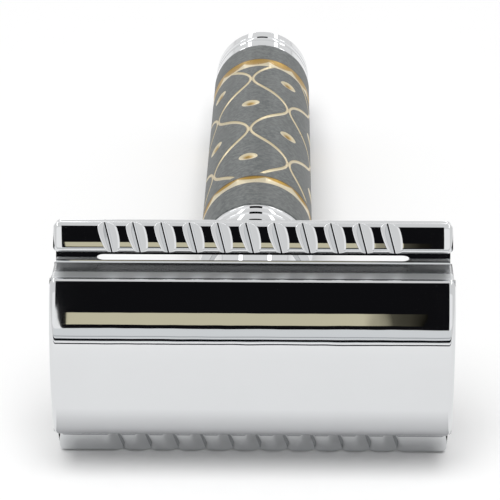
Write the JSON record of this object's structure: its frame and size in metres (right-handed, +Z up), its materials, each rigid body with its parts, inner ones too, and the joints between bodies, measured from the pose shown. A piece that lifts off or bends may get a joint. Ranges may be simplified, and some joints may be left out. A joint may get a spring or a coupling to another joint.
{
  "type": "safety razor",
  "caption": "Three-piece double-edge safety razor: curved cap, notched closed-comb guard plate, grooved collar and knob, and an engraved satin handle sleeve.",
  "frame": {"origin": "middle of the lying razor's footprint, on the surface it lies on", "axes": "+Z up, -Y towards the head, +Y along the handle to the knob, +X along the blade's edges"},
  "size_m": [0.043, 0.1068, 0.0269],
  "materials": {
    "chrome": "polished plating",
    "steel": "turned, threaded",
    "coating": "satin grey coating over brass, engraved through to the brass",
    "nylon": "plain moulded"
  },
  "bodies": {
    "guard": {"guard_plate": "chrome"},
    "cap": {"cap": "chrome", "cap_stud": "steel"},
    "handle": {"neck": "chrome", "thread_insert": "steel", "collar": "chrome", "front_centring_ring": "nylon", "sleeve": "coating", "rear_centring_ring": "nylon", "tie_rod": "steel", "knob": "chrome"}
  },
  "joints": [
    {"name": "handle_turn", "type": "hinge", "parent": "guard", "child": "handle", "pos_m": [0, -0.05006, 0.01378], "axis": [0, 0.9975, -0.0707], "range_deg": [0, 2520]},
    {"name": "cap_lift", "type": "slide", "parent": "guard", "child": "cap", "axis": [0, -0.9975, 0.0707], "range_m": [0, 0.0056]}
  ],
  "couplings": [
    {"joint": "cap_lift", "follows": "handle_turn", "m_per_rad": 0.00012732}
  ]
}
